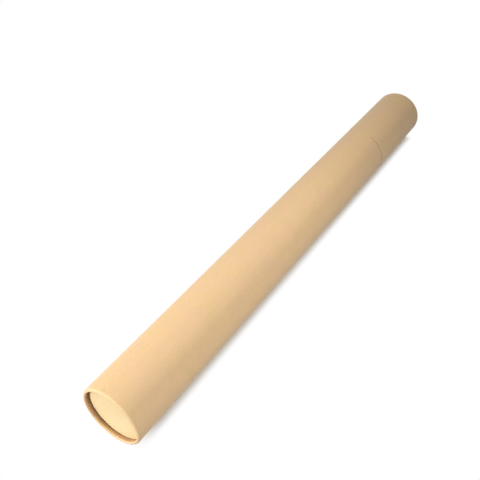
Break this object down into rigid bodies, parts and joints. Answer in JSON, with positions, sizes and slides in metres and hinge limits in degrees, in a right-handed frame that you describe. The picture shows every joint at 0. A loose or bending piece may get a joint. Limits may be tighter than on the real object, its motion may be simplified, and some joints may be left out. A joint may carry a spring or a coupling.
{
  "type": "poster tube",
  "caption": "Long round kraft board tube with a flush slip-on lid sliding on an inner neck, and a flat disc recessed in each end, for holding rolled posters and drawings.",
  "frame": {"origin": "middle of the base rim, on the surface that the tube stands on", "axes": "+Z along the tube's axis from the base to the lid; X and Y across it, alike because the tube is round"},
  "size_m": [0.065, 0.065, 0.628],
  "materials": {
    "kraft_wrap": "matte",
    "liner_board": "matte",
    "disc_board": "matte"
  },
  "bodies": {
    "tube": {"body_tube": "kraft_wrap", "neck_sleeve": "liner_board", "base_disc": "disc_board"},
    "lid": {"lid_tube": "kraft_wrap", "lid_disc": "disc_board"}
  },
  "joints": [
    {"name": "lid_slide", "type": "slide", "parent": "tube", "child": "lid", "axis": [0, 0, 1], "range_m": [0, 0.15]}
  ]
}
